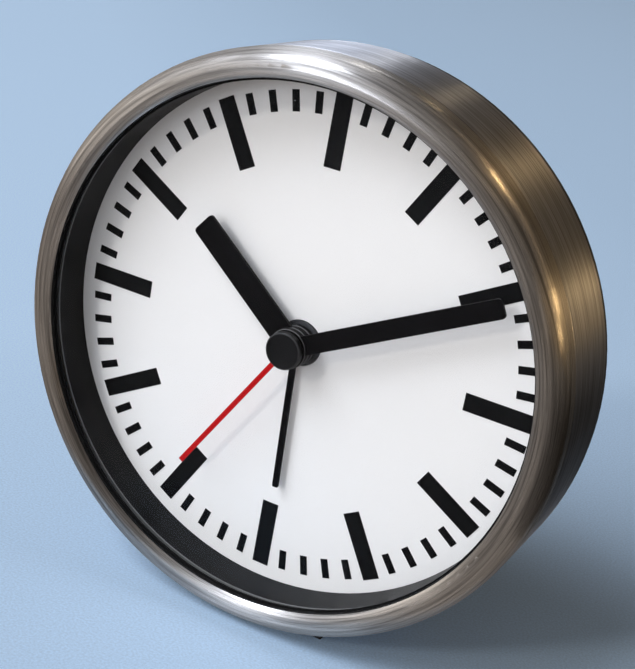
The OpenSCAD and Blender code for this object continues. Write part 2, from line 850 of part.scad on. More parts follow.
// Lid of the movement, with rear bearings, pillars, board posts and screw seats. It is open
// over the battery.
module movement_back() {
    bearings = [[0, 0], third_p, intermediate_p, rotor_p];
    color(grey_colour) standing() difference() {
        union() {
            intersection() {
                round_block(movement_w, movement_corner_r, movement_back_z, lid_z);
                block([-movement_w / 2, partition_y - partition_t, movement_back_z],
                    [movement_w / 2, movement_w / 2, lid_z]);
            }
            for (p = bearings) translate([p[0], p[1], 0])
                disc(boss_r, lid_z - plate_t / 2, lid_z + boss_h);
            for (p = pillars) translate([p[0], p[1], 0])
                disc(pillar_r, lid_z - plate_t / 2, level(plate_level) - wheel_t);
            for (x = [board_inset, board_w - board_inset], y = [board_inset, board_h - board_inset])
                translate([board_x + x, board_y + y, 0])
                    disc(shoulder_r, lid_z - plate_t / 2, level(board_level) - wheel_t);
        }
        for (p = bearings) translate([p[0], p[1], 0])
            disc(arbor_r + run_gap, lid_z - pivot_depth - end_play, lid_z + boss_h + over);
        for (p = pillars) translate([p[0], p[1], 0]) {
            disc(train_screw_r + run_gap, movement_back_z - over, level(plate_level));
            disc(train_head_r + run_gap, movement_back_z - over, movement_back_z + train_head_h);
        }
        for (p = [time_p, alarm_p]) translate([p[0], p[1], 0])
            disc(shaft_r + run_gap, movement_back_z - over, lid_z + over);
        translate([buzzer_p[0], buzzer_p[1], 0])
            disc(sound_ring_r, movement_back_z - over, lid_z + over);
    }
}

// Four long screws through the lid and the train plate into the front pillars
module movement_screws() {
    color(steel_colour) standing() for (p = pillars) translate([p[0], p[1], 0]) {
        disc(train_head_r, movement_back_z, movement_back_z + train_head_h);
        disc(train_screw_r, movement_back_z + train_head_h, level(cannon_level));
    }
}

// Two screws that hold the movement's ears to the carrier
module ear_screws() {
    color(steel_colour) standing() for (x = [-ear_x, ear_x]) translate([x, ear_y, 0]) {
        disc(ear_head_r, carrier_back_z - ear_t - ear_head_h, carrier_back_z - ear_t);
        disc(ear_screw_r, carrier_back_z - ear_t, dial_back_z - movement_gap);
    }
}

// Alarm wheel on the outermost tube
module alarm_wheel() {
    color(white_colour) standing() difference() {
        union() {
            gear_at(alarm_level, alarm_teeth, alarm_module, 0);
            disc(alarm_tube_r, level(hour_level) + end_play, alarm_collar_z + alarm_collar_h);
            disc(alarm_tube_r + tube_wall, level(alarm_level), inside_z - end_play);
        }
        disc(alarm_tube_in_r, level(hour_level), alarm_collar_z + alarm_collar_h + over);
    }
}

// Hour wheel on its tube
module hour_wheel() {
    color(white_colour) standing() difference() {
        union() {
            gear_at(hour_level, hour_teeth, hour_module, hour_phase);
            disc(hour_tube_r, level(cannon_level) + end_play, hour_collar_z + collar_h);
        }
        disc(hour_tube_in_r, level(cannon_level), hour_collar_z + collar_h + over);
    }
}

// Minute tube with the cannon pinion
module cannon_pinion() {
    color(brass_colour) standing() difference() {
        union() {
            gear_at(cannon_level, cannon_teeth, motion_module, 0);
            disc(minute_tube_r, level(plate_level) + end_play, minute_collar_z + collar_h);
        }
        disc(minute_tube_in_r, level(plate_level), minute_collar_z + collar_h + over);
    }
}

// Motion wheel and pinion on the front plate's stud
module motion_wheel() {
    color(white_colour) standing() translate([motion_p[0], motion_p[1], 0]) difference() {
        union() {
            gear_at(cannon_level, motion_teeth, motion_module, motion_phase);
            gear(motion_pinion_teeth, hour_module, 0, level(cannon_level), level(hour_level));
            disc(wide_shoulder_r, level(hour_level), inside_z - end_play);
        }
        disc(stud_r + run_gap, level(centre_level), 0);
    }
}

// Centre wheel, which drives the minute tube through a friction seat
module centre_wheel() {
    color(brass_colour) standing() difference() {
        union() {
            gear_at(centre_level, centre_teeth, centre_module, centre_phase);
            disc(minute_tube_r + tube_wall, level(plate_level) + end_play,
                level(cannon_level) - wheel_t - end_play);
        }
        disc(minute_tube_r + run_gap, level(plate_level), level(cannon_level));
    }
}

// Third wheel behind the train plate, with its pinion in front of it
module third_wheel() {
    color(brass_colour) standing() translate([third_p[0], third_p[1], 0]) {
        gear_at(third_level, third_teeth, train_module, third_phase);
        disc(journal_r, level(third_level), level(centre_level) - wheel_t);
        gear_at(centre_level, third_pinion_teeth, centre_module, 0);
        disc(shoulder_r, lid_z + boss_h + end_play, level(third_level) - wheel_t);
        disc(arbor_r, lid_z - pivot_depth, lid_z + boss_h + end_play);
    }
}

// Seconds arbor with its wheel and pinion
module second_wheel() {
    color(white_colour) standing() {
        gear_at(seconds_level, second_teeth, train_module, 0);
        gear(second_pinion_teeth, train_module, 0, level(seconds_level), level(third_level));
        disc(shoulder_r, level(third_level), level(plate_level) - wheel_t - end_play);
        disc(shoulder_r, lid_z + boss_h + end_play, level(seconds_level) - wheel_t);
        disc(arbor_r, lid_z - pivot_depth, cap_z + cap_bore_h - end_play);
    }
}

// Wheel and pinion between the rotor and the seconds wheel
module intermediate_wheel() {
    color(white_colour) standing() translate([intermediate_p[0], intermediate_p[1], 0]) {
        gear_at(drive_level, intermediate_teeth, train_module, 0);
        gear(intermediate_pinion_teeth, train_module, intermediate_phase,
            level(drive_level), level(seconds_level));
        disc(shoulder_r, level(seconds_level), level(plate_level) - wheel_t - end_play);
        disc(shoulder_r, lid_z + boss_h + end_play, level(drive_level) - wheel_t);
        disc(arbor_r, lid_z - pivot_depth, level(plate_level) - wheel_t / 4);
    }
}

// Rotor arbor with its pinion
module rotor_pinion() {
    color(white_colour) standing() translate([rotor_p[0], rotor_p[1], 0]) {
        gear_at(drive_level, rotor_teeth, train_module, rotor_phase);
        disc(shoulder_r, level(drive_level), level(plate_level) - wheel_t - end_play);
        disc(shoulder_r, lid_z + boss_h + end_play, level(drive_level) - wheel_t);
        disc(arbor_r, lid_z - pivot_depth, level(plate_level) - wheel_t / 4);
    }
}

// Ring magnet on the rotor
module rotor_magnet() {
    top_z = level(plate_level) - wheel_t - magnet_top_gap;
    color(grey_colour) standing() translate([rotor_p[0], rotor_p[1], 0])
        tube(magnet_r, shoulder_r + press_gap, top_z - magnet_h, top_z);
}

// Stator plate round the rotor, with two legs to the coil's core
module stator() {
    top_z = level(seconds_level);
    low_z = top_z - wheel_t;
    half = core_l / 2;
    color(grey_colour) standing() translate([rotor_p[0], rotor_p[1], 0]) difference() {
        union() {
            disc(stator_ring_r, low_z, top_z);
            block([-half, -core_w / 2, low_z], [half, core_w / 2, top_z]);
            for (x = [-half, half - core_w])
                block([x, -core_w / 2, low_z], [x + core_w, coil_y + core_w / 2 - rotor_p[1], top_z]);
        }
        disc(magnet_r + stator_gap, low_z - over, top_z + over);
    }
}

// Flat core through the coil
module coil_core() {
    top_z = level(seconds_level) - wheel_t;
    color(grey_colour) standing() translate([coil_x, coil_y, 0])
        block([-core_l / 2, -core_w / 2, top_z - wheel_t], [core_l / 2, core_w / 2, top_z]);
}

// Cylinder along X between two places
module along_x(r, x0, x1) {
    translate([x0, 0, 0]) rotate([0, quarter_turn, 0]) cylinder(r = r, h = x1 - x0);
}

// Puts children on the coil's axis
module coil_axis() {
    translate([coil_x, coil_y, level(seconds_level) - wheel_t - wheel_t / 2]) children();
}

// Bobbin with two flanges, slotted for the core
module coil_bobbin() {
    slot = core_w / 2 + press_gap;
    color(white_colour) standing() coil_axis() difference() {
        union() {
            along_x(bobbin_r, -coil_l / 2, coil_l / 2);
            along_x(flange_r, -coil_l / 2 - flange_t, -coil_l / 2);
            along_x(flange_r, coil_l / 2, coil_l / 2 + flange_t);
        }
        block([-coil_l, -slot, -wheel_t / 2 - press_gap], [coil_l, slot, wheel_t / 2 + press_gap]);
    }
}

// Winding on the bobbin
module coil_winding() {
    color("#b5651d") standing() coil_axis() difference() {
        along_x(coil_r, -coil_l / 2 + press_gap, coil_l / 2 - press_gap);
        along_x(bobbin_r + press_gap, -coil_l, coil_l);
    }
}

// Circuit board on four short posts of the lid
module circuit_board() {
    color("#2f6b45") standing()
        block([board_x, board_y, level(board_level) - wheel_t],
            [board_x + board_w, board_y + board_h, level(board_level)]);
}

// Moulded blob over the driver chip
module driver_chip() {
    color(black_colour) standing()
        translate([board_x + 2 * chip_r, board_y + board_h / 2, 0])
            disc(chip_r, level(board_level), level(board_level) + chip_h);
}

// Quartz crystal in its can, lying on the board
module quartz_crystal() {
    color(steel_colour) standing()
        translate([board_x + board_w - crystal_l - crystal_r, board_y + board_h - 2 * crystal_r,
            level(board_level) + crystal_r + press_gap]) along_x(crystal_r, 0, crystal_l);
}

// Round buzzer glued to the lid
module buzzer() {
    color(black_colour) standing() translate([buzzer_p[0], buzzer_p[1], 0])
        difference() {
            disc(buzzer_r, lid_z, lid_z + buzzer_h);
            disc(sound_hole_r, lid_z - over, lid_z + buzzer_h / 2);
        }
}

// Shaft from the front plate through the lid and the cover, to its knob
module set_shaft() {
    disc(shaft_pivot_r, inside_z, inside_z + shaft_pivot_l - end_play);
    disc(shaft_r, knob_back_z + knob_wall + end_play, inside_z - end_play);
    disc(shaft_pivot_r, inside_z - end_play, inside_z);
}

// Time setting shaft with its pinion
module time_shaft() {
    color(white_colour) standing() translate([time_p[0], time_p[1], 0]) {
        set_shaft();
        gear_at(cannon_level, time_teeth, motion_module, time_phase);
    }
}

// Alarm setting shaft with its wheel
module alarm_shaft() {
    color(white_colour) standing() translate([alarm_p[0], alarm_p[1], 0]) {
        set_shaft();
        gear_at(alarm_level, alarm_set_teeth, alarm_module, alarm_set_phase);
    }
}

// Knob with a beveled rim and grip notches
module knob() {
    difference() {
        rotate_extrude() polygon([
            [shaft_r + press_gap, knob_z], [knob_r, knob_z], [knob_r, knob_back_z + knob_bevel],
            [knob_r - knob_bevel, knob_back_z], [0, knob_back_z],
            [0, knob_back_z + knob_wall], [shaft_r + press_gap, knob_back_z + knob_wall]
        ]);
        for (i = [0:grip_count - 1])
            translate(concat((knob_r + grip_r / 2) * toward(i * full_turn / grip_count), 0))
                disc(grip_r, knob_back_z - over, knob_z + over);
    }
}

// Time setting knob
module time_knob() {
    color(black_colour) standing() translate([time_p[0], time_p[1], 0]) knob();
}

// Alarm setting knob
module alarm_knob() {
    color(black_colour) standing() translate([alarm_p[0], alarm_p[1], 0]) knob();
}

// Slide of the alarm switch, with a flange inside the cover and a ridged thumb piece
module alarm_switch() {
    back_z = pod_z - thumb_h;
    color(white_colour) standing() translate([-switch_travel / 2, switch_y, 0]) {
        block([-switch_flange_w / 2, -switch_flange_h / 2, pod_in_z + end_play],
            [switch_flange_w / 2, switch_flange_h / 2, pod_in_z + end_play + switch_flange_t]);
        block([-neck_w / 2, -neck_h / 2, pod_z - switch_play],
            [neck_w / 2, neck_h / 2, pod_in_z + end_play]);
        block([-thumb_w / 2, -thumb_w / 2, back_z + switch_ridge],
            [thumb_w / 2, thumb_w / 2, pod_z - switch_play]);
        for (i = [-1:1]) translate([i * switch_ridge_pitch, 0, 0])
            block([-switch_ridge / 2, -thumb_w / 2, back_z],
                [switch_ridge / 2, thumb_w / 2, back_z + switch_ridge]);
    }
}

// AA cell lying across the bottom of the movement, its cap towards +X
module battery() {
    color("#5b6b78") standing() translate([0, battery_y, battery_z]) {
        along_x(battery_r, -battery_l / 2, battery_l / 2 - nub_h);
        along_x(nub_r, battery_l / 2 - nub_h, battery_l / 2);
    }
}

// Contact plate at the battery's cap, with a round dimple
module plus_contact() {
    x0 = battery_l / 2 + contact_touch;
    x1 = inside_w / 2;
    color(steel_colour) standing() translate([0, battery_y, battery_z]) {
        block([x1 - contact_t, -contact_w / 2, -contact_w / 2], [x1, contact_w / 2, contact_w / 2]);
        along_x(nub_r - contact_t, x0, x1 - contact_t);
    }
}

// Contact plate at the battery's flat end, with a bowed leaf
module minus_contact() {
    x0 = -battery_l / 2 - contact_touch;
    x1 = -inside_w / 2;
    color(steel_colour) standing() translate([0, battery_y, battery_z]) {
        block([x1, -contact_w / 2, -contact_w / 2], [x1 + contact_t, contact_w / 2, contact_w / 2]);
        intersection() {
            translate([x0 - leaf_r, -contact_w / 2, 0]) rotate([-quarter_turn, 0, 0])
                cylinder(r = leaf_r, h = contact_w);
            block([x1 + contact_t, -contact_w, -contact_w], [x0, contact_w, contact_w]);
        }
    }
}

bezel();
case_drum();
gasket();
lens();
dial_ring();
dial();
hour_marks();
minute_marks();
dial_carrier();
back_cover();
cover_screws();
battery_door();
rubber_feet();
hour_hand();
minute_hand();
second_hand();
hand_cap();
alarm_hand();
movement_front();
train_plate();
movement_back();
movement_screws();
ear_screws();
alarm_wheel();
hour_wheel();
cannon_pinion();
motion_wheel();
centre_wheel();
third_wheel();
second_wheel();
intermediate_wheel();
rotor_pinion();
rotor_magnet();
stator();
coil_core();
coil_bobbin();
coil_winding();
circuit_board();
driver_chip();
quartz_crystal();
buzzer();
time_shaft();
time_knob();
alarm_shaft();
alarm_knob();
alarm_switch();
battery();
plus_contact();
minus_contact();
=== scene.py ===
import math

import bpy
from mathutils import Matrix, Vector


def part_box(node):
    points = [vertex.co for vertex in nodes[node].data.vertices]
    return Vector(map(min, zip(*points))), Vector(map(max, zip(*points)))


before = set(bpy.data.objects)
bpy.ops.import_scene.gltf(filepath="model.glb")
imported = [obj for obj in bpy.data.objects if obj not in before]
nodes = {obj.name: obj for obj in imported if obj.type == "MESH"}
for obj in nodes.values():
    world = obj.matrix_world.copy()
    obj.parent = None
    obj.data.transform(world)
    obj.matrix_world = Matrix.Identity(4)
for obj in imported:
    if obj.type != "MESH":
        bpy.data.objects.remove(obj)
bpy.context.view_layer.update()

mm = 0.001                # the scene is in metres
drumLow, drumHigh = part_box("case_drum")
axisHeight = (drumLow[2] + drumHigh[2]) / 2    # height of the dial's axis over the table
caseRadius = (drumHigh[0] - drumLow[0]) / 2
noiseLow, noiseHigh = 0.3, 0.7    # a noise texture mostly stays between these
pairLow, pairHigh = 0.7, 1.3      # and the sum of two between these
softLight = "#f5f9ff"             # the lamps' colours
paleLight = "#e9f1ff"
warmLight = "#ffd596"


def linearColour(hexCode):
    # sRGB hex to linear RGBA
    parts = [int(hexCode[i:i + 2], 16) / 255 for i in (1, 3, 5)]
    return [p / 12.92 if p <= 0.04045 else ((p + 0.055) / 1.055) ** 2.4 for p in parts] + [1]


def shades(hexCode, share):
    # a darker and a lighter shade of a colour
    base = linearColour(hexCode)[:3]
    return [c * (1 - share) for c in base] + [1], [min(1, c * (1 + share)) for c in base] + [1]


def perMetre(sizeMm):
    # texture scale at which one noise cell is sizeMm across
    return 1 / (sizeMm * mm)


def waveScale(spacingMm):
    # scale at which the bands lie spacingMm apart, as a wave texture has 20 / tau to a unit
    return perMetre(spacingMm) * math.tau / 20


def addNode(tree, kind, inputs=None, **settings):
    # one node with its settings, its values and its links
    node = tree.nodes.new("ShaderNode" + kind)
    for name, value in settings.items():
        setattr(node, name, value)
    for key, value in (inputs or {}).items():
        if isinstance(value, bpy.types.NodeSocket):
            tree.links.new(value, node.inputs[key])
        else:
            node.inputs[key].default_value = value
    return node


def startMaterial(name):
    material = bpy.data.materials.new(name)
    material.use_nodes = True
    material.node_tree.nodes.clear()
    return material, material.node_tree


def dress(material, *names):
    # the material goes into every slot of these CAD pieces
    for name in names:
        for slot in nodes[name].material_slots:
            slot.material = material


print("stage: camera")

cameraLook = {
    "place": (94.964 * mm, -210.174 * mm, 134.282 * mm),
    "forward": (-0.38817, 0.85614, -0.34111),
    "up": (-0.30551, 0.22966, 0.92408),
    "focalPixels": 1406.27,
    "imageLongPixels": 669,
    "sensorWidth": 36,
    "near": 10 * mm,
    "far": 20,
}


def makeCamera(look):
    data = bpy.data.cameras.new("camera")
    data.sensor_width = look["sensorWidth"]
    data.lens = look["focalPixels"] * look["sensorWidth"] / look["imageLongPixels"]
    data.clip_start = look["near"]
    data.clip_end = look["far"]
    forward = Vector(look["forward"]).normalized()
    right = forward.cross(Vector(look["up"])).normalized()
    up = right.cross(forward)
    turned = Matrix((right, up, -forward)).transposed()
    camera = bpy.data.objects.new("camera", data)
    camera.matrix_world = Matrix.Translation(look["place"]) @ turned.to_4x4()
    bpy.context.scene.collection.objects.link(camera)
    bpy.context.scene.camera = camera


makeCamera(cameraLook)

print("stage: light")

# A small key and a large soft lamp at the front left, with a weak fill at the front and one at the
# back, light the clock in a dim room. The lamps named in steelOnly are reflections: they show in
# the steel and the glass, and light nothing else. Azimuth 0 is the front and 90 the right side,
# both in degrees. The key gives a white card that faces it the brightness "light", and each
# other lamp has the brightness "radiance" itself. Distances and sizes are in metres.
lightLook = {
    "key": {"azimuth": -22, "elevation": 24, "distance": 1, "light": 0.19, "angle": 7,
            "colour": "#fffaf2"},
    "lamps": {
        "softLamp": {"azimuth": -38, "elevation": 46, "distance": 6, "width": 3.6,
                     "height": 3.2, "radiance": 7.4, "colour": softLight},
        "frontFill": {"azimuth": -5, "elevation": 3, "distance": 7, "width": 6.7,
                      "height": 4.5, "radiance": 2.75, "colour": softLight},
        "backFill": {"azimuth": 172, "elevation": 5, "distance": 7, "width": 8.4,
                     "height": 2.6, "radiance": 1.6, "colour": "#fffaf4"},
        "paleFront": {"azimuth": -43, "elevation": 45, "distance": 2, "width": 0.5,
                      "height": 0.44, "radiance": 47, "colour": paleLight},
        "paleLow": {"azimuth": -23, "elevation": 4, "distance": 0.4, "width": 0.05,
                    "height": 0.05, "radiance": 27, "colour": paleLight},
        "paleLeft": {"azimuth": -72, "elevation": 38, "distance": 0.9, "width": 0.13,
                     "height": 0.13, "radiance": 6, "colour": paleLight},
        "leftCard": {"azimuth": -60, "elevation": 23, "distance": 1.5, "width": 1.2,
                     "height": 0.5, "radiance": 1.5, "colour": "#f4f7ff"},
        "leftWall": {"azimuth": -68, "elevation": 2, "distance": 1.5, "width": 1.5,
                     "height": 0.7, "radiance": 1.6, "colour": "#fff8f0"},
        "warmStrip": {"azimuth": 96, "elevation": 45, "distance": 0.9, "width": 0.06,
                      "height": 1.4, "radiance": 2.2, "colour": "#ffddb0"},
        "warmLow": {"azimuth": 102, "elevation": 20, "distance": 0.9, "width": 0.12,
                    "height": 0.07, "radiance": 42, "colour": warmLight},
        "warmFront": {"azimuth": 88, "elevation": 12, "distance": 0.9, "width": 0.06,
                      "height": 0.05, "radiance": 52, "colour": warmLight},
        "warmMiddle": {"azimuth": 91, "elevation": 57, "distance": 0.9, "width": 0.05,
                       "height": 0.05, "radiance": 112, "colour": warmLight},
        "warmBack": {"azimuth": 180, "elevation": 50, "distance": 0.9, "width": 0.06,
                     "height": 0.06, "radiance": 13, "colour": "#ffe4b8"},
        "paleBack": {"azimuth": -153, "elevation": 49, "distance": 0.9, "width": 0.09,
                     "height": 0.09, "radiance": 20, "colour": "#ffffff"},
    },
    "steelOnly": ("paleFront", "paleLow", "paleLeft", "leftCard", "leftWall", "warmStrip",
                  "warmLow", "warmFront", "warmMiddle", "warmBack", "paleBack"),
    "wallSide": (-0.75, -0.60, 0.40),   # the room is a little lighter on this side
    "wallFrom": (0.1, 0.95),            # growing between these cosines of the angle to it
    "wallColour": "#fff1e0",
    "wallStrength": 0.3,
    "dimColour": "#ffe6cc",
    "dimStrength": 0.062,
    "backdrop": "#a6bdd6",              # what the camera sees over the floor's far edge
}


def lampDirection(look):
    turn = math.radians(look["azimuth"])
    rise = math.radians(look["elevation"])
    return Vector((math.sin(turn) * math.cos(rise), -math.cos(turn) * math.cos(rise),
                   math.sin(rise)))


def addLamp(name, kind, look):
    # the lamp faces the clock's axis
    away = lampDirection(look)
    data = bpy.data.lights.new(name, kind)
    data.color = linearColour(look["colour"])[:3]
    if kind == "SUN":
        data.energy = look["light"] * math.pi
        data.angle = math.radians(look["angle"])
    else:
        data.shape = "RECTANGLE"
        data.size = look["width"]
        data.size_y = look["height"]
        data.energy = look["radiance"] * math.pi * look["width"] * look["height"]
    lamp = bpy.data.objects.new(name, data)
    lamp.location = Vector((0, 0, axisHeight)) + away * look["distance"]
    lamp.rotation_mode = "QUATERNION"
    lamp.rotation_quaternion = away.to_track_quat("Z", "Y")
    lamp.visible_camera = False
    bpy.context.scene.collection.objects.link(lamp)
    return lamp


def makeLight(look):
    key = addLamp("keyLamp", "SUN", look["key"])
    key.visible_glossy = False
    for name, lampLook in look["lamps"].items():
        lamp = addLamp(name, "AREA", lampLook)
        lamp.visible_diffuse = name not in look["steelOnly"]
        lamp.visible_glossy = name in look["steelOnly"]
    bpy.context.scene.view_settings.view_transform = "Standard"
    world = bpy.data.worlds.new("studio")
    bpy.context.scene.world = world
    world.use_nodes = True
    tree = world.node_tree
    tree.nodes.clear()
    place = addNode(tree, "TexCoord")
    side = Vector(look["wallSide"]).normalized()
    toWall = addNode(tree, "VectorMath", {0: place.outputs["Generated"], 1: side},
                     operation="DOT_PRODUCT")
    share = addNode(tree, "MapRange", {"Value": toWall.outputs["Value"],
                    "From Min": look["wallFrom"][0], "From Max": look["wallFrom"][1]},
                    interpolation_type="SMOOTHSTEP")
    dim = addNode(tree, "Background", {"Color": linearColour(look["dimColour"]),
                  "Strength": look["dimStrength"]})
    wall = addNode(tree, "Background", {"Color": linearColour(look["wallColour"]),
                   "Strength": look["wallStrength"]})
    both = addNode(tree, "MixShader", {0: share.outputs["Result"], 1: dim.outputs[0],
                   2: wall.outputs[0]})
    path = addNode(tree, "LightPath")
    seen = addNode(tree, "Background", {"Color": linearColour(look["backdrop"]), "Strength": 1})
    room = addNode(tree, "MixShader", {0: path.outputs["Is Camera Ray"], 1: both.outputs[0],
                   2: seen.outputs[0]})
    addNode(tree, "OutputWorld", {"Surface": room.outputs[0]})


makeLight(lightLook)

print("stage: dark card")

flagLook = {"x": 80, "y": (-90, 150), "height": 68, "colour": "#15100b", "paintedLightColour": "#99938c",
            "fadeMm": (50, 84), "depthMm": (30, 125), "grainMm": 1.5, "fibreShiftMm": 6}


def makeFlag(look):
    # a dark card at the right, which only the steel and the glass show, so that they reflect dark
    # there; its paler top and far end are painted light in that reflection
    mesh = bpy.data.meshes.new("flag")
    x = look["x"] * mm
    near, far = (y * mm for y in look["y"])
    top = look["height"] * mm
    mesh.from_pydata([(x, near, 0), (x, far, 0), (x, far, top), (x, near, top)], [],
                     [(0, 1, 2, 3)])
    flag = bpy.data.objects.new("flag", mesh)
    bpy.context.scene.collection.objects.link(flag)
    material, tree = startMaterial("paintedReflectionCard")
    place = addNode(tree, "TexCoord")
    height = addNode(tree, "SeparateXYZ", {0: place.outputs["Object"]})
    fibre = addNode(tree, "TexNoise", {"Vector": place.outputs["Object"],
                    "Scale": perMetre(look["grainMm"]), "Detail": 3})
    shift = addNode(tree, "Math", {0: fibre.outputs["Fac"], 1: look["fibreShiftMm"] * mm,
                    2: height.outputs["Z"]}, operation="MULTIPLY_ADD")
    upper = addNode(tree, "MapRange", {"Value": shift.outputs[0],
                    "From Min": look["fadeMm"][0] * mm, "From Max": look["fadeMm"][1] * mm})
    deeper = addNode(tree, "MapRange", {"Value": height.outputs["Y"],
                     "From Min": look["depthMm"][0] * mm, "From Max": look["depthMm"][1] * mm})
    share = addNode(tree, "Math", {0: upper.outputs["Result"], 1: deeper.outputs["Result"]},
                    operation="MAXIMUM")
    # painted reflection: the card is paler at its top and far end, which brightens the steel's
    # reflection there
    colour = addNode(tree, "Mix", {"Factor": share.outputs[0], "A": linearColour(look["colour"]),
                     "B": linearColour(look["paintedLightColour"])}, data_type="RGBA")
    card = addNode(tree, "BsdfPrincipled", {"Base Color": colour.outputs["Result"],
                   "Roughness": 1, "Specular IOR Level": 0})
    addNode(tree, "OutputMaterial", {"Surface": card.outputs["BSDF"]})
    mesh.materials.append(material)
    flag.visible_camera = False
    flag.visible_diffuse = False
    flag.visible_shadow = False


makeFlag(flagLook)

print("stage: floor")

floorLook = {
    "colour": "#bcd7f4",
    "paintedReflectionColour": "#c0b6ad",        # painted reflection: beyond the picture only reflected and bounced rays see this warmer colour
    "corner": (-20, -54),            # the picture's lower left corner on the floor, in millimetres
    "leftward": (-0.767, -0.642),    # out of the picture over its left edge
    "forward": (0.676, -0.737),      # and over its lower edge
    "fadeMm": (0, 24),
    "paintedLightDepthMm": (20, 150),        # painted light: the board is paler from here on, away from the corner
    "paintedLightShare": 0.17,
    "paintedShadeSideMm": (60, 260),          # and painted shade: a little dimmer towards the right
    "paintedShadeShare": 0.12,
    "halfWidth": 3,                  # metres
    "roughness": 0.95,
    "shine": 0.05,
    "grainMm": 0.45,
    "grainDepthMm": 0.01,
    "grainStrength": 0.4,
    "grainTone": 0.09,
}


def makeFloor(look):
    # painted board, matt: pale, with a faint tooth; its colour also carries painted light and
    # shade
    mesh = bpy.data.meshes.new("floor")
    w = look["halfWidth"]
    mesh.from_pydata([(-w, -w, 0), (w, -w, 0), (w, w, 0), (-w, w, 0)], [], [(0, 1, 2, 3)])
    floor = bpy.data.objects.new("floor", mesh)
    bpy.context.scene.collection.objects.link(floor)
    material, tree = startMaterial("mattPaintedBoard")
    place = addNode(tree, "TexCoord")
    corner = Vector((*look["corner"], 0)) * mm
    fromCorner = addNode(tree, "VectorMath", {0: place.outputs["Object"], 1: corner},
                         operation="SUBTRACT")
    left = addNode(tree, "VectorMath", {0: fromCorner.outputs[0], 1: (*look["leftward"], 0)},
                   operation="DOT_PRODUCT")
    front = addNode(tree, "VectorMath", {0: fromCorner.outputs[0], 1: (*look["forward"], 0)},
                    operation="DOT_PRODUCT")
    outside = addNode(tree, "Math", {0: left.outputs["Value"], 1: front.outputs["Value"]},
                      operation="MAXIMUM")
    fade = addNode(tree, "MapRange", {"Value": outside.outputs[0],
                   "From Min": look["fadeMm"][0] * mm, "From Max": look["fadeMm"][1] * mm},
                   interpolation_type="SMOOTHSTEP")
    # painted reflection: reflected and bounced rays see the board warmer outside the picture,
    # while the camera sees the plain colour everywhere
    path = addNode(tree, "LightPath")
    unseen = addNode(tree, "Math", {0: 1, 1: path.outputs["Is Camera Ray"]},
                     operation="SUBTRACT")
    share = addNode(tree, "Math", {0: fade.outputs["Result"], 1: unseen.outputs[0]},
                    operation="MULTIPLY")
    colour = addNode(tree, "Mix", {"Factor": share.outputs[0], "A": linearColour(look["colour"]),
                     "B": linearColour(look["paintedReflectionColour"])}, data_type="RGBA")
    grain = addNode(tree, "TexNoise", {"Vector": place.outputs["Object"],
                    "Scale": perMetre(look["grainMm"]), "Detail": 2})
    bump = addNode(tree, "Bump", {"Height": grain.outputs["Fac"],
                   "Strength": look["grainStrength"], "Distance": look["grainDepthMm"] * mm})
    speckle = addNode(tree, "MapRange", {"Value": grain.outputs["Fac"], "From Min": noiseLow,
                      "From Max": noiseHigh, "To Min": 1 - look["grainTone"],
                      "To Max": 1 + look["grainTone"]})
    # painted light and painted shade: the colour is scaled paler away from the corner and dimmer
    # towards the right
    pale = addNode(tree, "MapRange", {"Value": front.outputs["Value"],
                   "From Min": -look["paintedLightDepthMm"][0] * mm,
                   "From Max": -look["paintedLightDepthMm"][1] * mm,
                   "To Min": 1, "To Max": 1 + look["paintedLightShare"]})
    dimmer = addNode(tree, "MapRange", {"Value": left.outputs["Value"],
                     "From Min": -look["paintedShadeSideMm"][0] * mm,
                     "From Max": -look["paintedShadeSideMm"][1] * mm,
                     "To Min": 1, "To Max": 1 - look["paintedShadeShare"]})
    even = addNode(tree, "Math", {0: pale.outputs["Result"], 1: dimmer.outputs["Result"]},
                   operation="MULTIPLY")
    level = addNode(tree, "Math", {0: even.outputs[0], 1: speckle.outputs["Result"]},
                    operation="MULTIPLY")
    speckled = addNode(tree, "VectorMath", {0: colour.outputs["Result"],
                       "Scale": level.outputs[0]}, operation="SCALE")
    paint = addNode(tree, "BsdfPrincipled", {
        "Base Color": speckled.outputs[0], "Roughness": look["roughness"],
        "Specular IOR Level": look["shine"], "Normal": bump.outputs["Normal"]})
    addNode(tree, "OutputMaterial", {"Surface": paint.outputs["BSDF"]})
    mesh.materials.append(material)


makeFloor(floorLook)

print("stage: brushed steel")

# Stainless steel, brushed round the axis: a warm grey, with long fine lines that stretch each
# highlight across them. The real lines lie about 0.05 mm apart, which is too fine to show in the
# render, so they are drawn coarser. The crests are nearly polished and the grooves rough, which
# gives a highlight a crisp core and a wide soft edge.
bezelSteelLook = {
    "colour": "#a6a3a0",
    "grazingColour": "#c4c0ba",
    "polished": {"roughness": 0.28, "anisotropic": 0.8},
    "rough": {"roughness": 0.52, "anisotropic": 0.975},
    "roughShare": 0.55,
    "roughnessShift": 0.02,
    "lineMm": 0.34,
    "streakMm": 15,
    "bandMm": 0.9,
    "bandStreakMm": 30,
    "bandShare": 0.1,
    "lineDepthMm": 0.0004,
    "lineTone": 0.4,
    "lineFiner": 0.6,           # how strongly the finer level of the lines' noise shows
    "toneSpan": (0.34, 0.66),   # noise values that are drawn darkest and palest
    "glossTurn": 0.25,          # a quarter turn spreads the gloss across the lines
    "paintedShadeRadiusMm": 45.2,      # painted shade: the lip's inner wall is drawn black
    "paintedShadeColour": "#0b0b0c",
    "paintedShadeRoughness": 0.6,
    "paintedShadeShine": 0.2,
}
drumSteelLook = dict(bezelSteelLook, colour="#a4a6ac",
                     polished={"roughness": 0.33, "anisotropic": 0.95}, roughShare=0.4,
                     paintedShadeRadiusMm=0)


